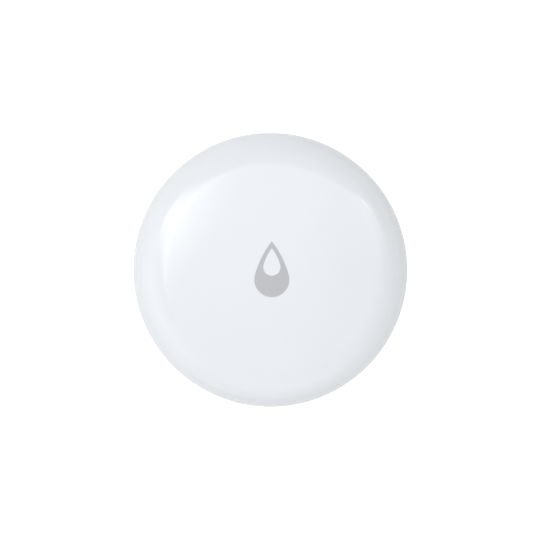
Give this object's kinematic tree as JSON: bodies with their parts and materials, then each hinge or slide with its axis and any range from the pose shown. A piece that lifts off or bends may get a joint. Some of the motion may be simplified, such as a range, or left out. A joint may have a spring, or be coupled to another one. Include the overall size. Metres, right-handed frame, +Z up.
{
  "type": "water leak sensor",
  "caption": "Round domed puck that lies on the floor and senses water between two probe screws, with a press cap and a coin-slot battery door.",
  "frame": {"origin": "centre of the underside where the feet and probes meet the floor", "axes": "+Z up through the cap, +Y towards the top of the cap's mark, +X to the right probe"},
  "size_m": [0.05, 0.05, 0.015],
  "materials": {
    "glossy_cap": "polished white ABS",
    "base_white": "fine spark texture, white ABS",
    "clear_plastic": "clear polycarbonate",
    "silicone": "grey silicone",
    "probe_steel": "turned stainless steel",
    "screw_steel": "zinc plated steel",
    "brass_insert": "machined brass",
    "cell_steel": "nickel plated steel",
    "nylon": "dark nylon",
    "board_laminate": "green solder mask",
    "spring_metal": "nickel plated spring bronze",
    "switch_black": "black moulded plastic",
    "switch_stem": "brown moulded plastic",
    "led_white": "white ceramic package",
    "led_clear": "clear resin over phosphor",
    "chip_black": "black moulded epoxy",
    "solder": "bright solder",
    "ceramic_dark": "dark ceramic",
    "ceramic_tan": "tan ceramic",
    "copper": "bare copper"
  },
  "bodies": {
    "base": {"base_housing": "base_white", "cap_gasket": "silicone", "probe_screw_left": "probe_steel", "probe_screw_right": "probe_steel", "probe_seal_left": "silicone", "probe_seal_right": "silicone", "probe_insert_left": "brass_insert", "probe_insert_right": "brass_insert", "board_screws": "screw_steel", "battery_can": "cell_steel", "battery_cap": "cell_steel", "battery_grommet": "nylon", "circuit_board": "board_laminate", "negative_spring": "spring_metal", "positive_clip": "spring_metal", "switch_housing": "switch_black", "switch_frame": "spring_metal", "switch_dome": "spring_metal", "switch_terminals": "solder", "led_body": "led_white", "led_lens": "led_clear", "radio_chip": "chip_black", "radio_pins": "solder", "crystal_base": "ceramic_dark", "crystal_lid": "spring_metal", "antenna_trace": "copper", "capacitors": "ceramic_tan", "resistors": "chip_black"},
    "cap": {"top_cover": "glossy_cap", "light_guide": "clear_plastic"},
    "plunger": {"switch_plunger": "switch_stem"},
    "door": {"battery_door": "base_white", "door_seal": "silicone"}
  },
  "joints": [
    {"name": "cap_press", "type": "slide", "parent": "base", "child": "cap", "axis": [0, 0, -1], "range_m": [0, 0.0003], "stiffness_N_per_m": 600, "springref_m": -0.001, "deforming": ["cap_gasket"]},
    {"name": "switch_press", "type": "slide", "parent": "base", "child": "plunger", "axis": [0, 0, -1], "range_m": [0, 0.0003], "deforming": ["switch_dome"]},
    {"name": "door_turn", "type": "hinge", "parent": "base", "child": "door", "pos_m": [0, 0, 0.0012], "axis": [0, 0, -1], "range_deg": [0, 32]}
  ],
  "couplings": [
    {"joint": "switch_press", "follows": "cap_press", "ratio": 1}
  ]
}
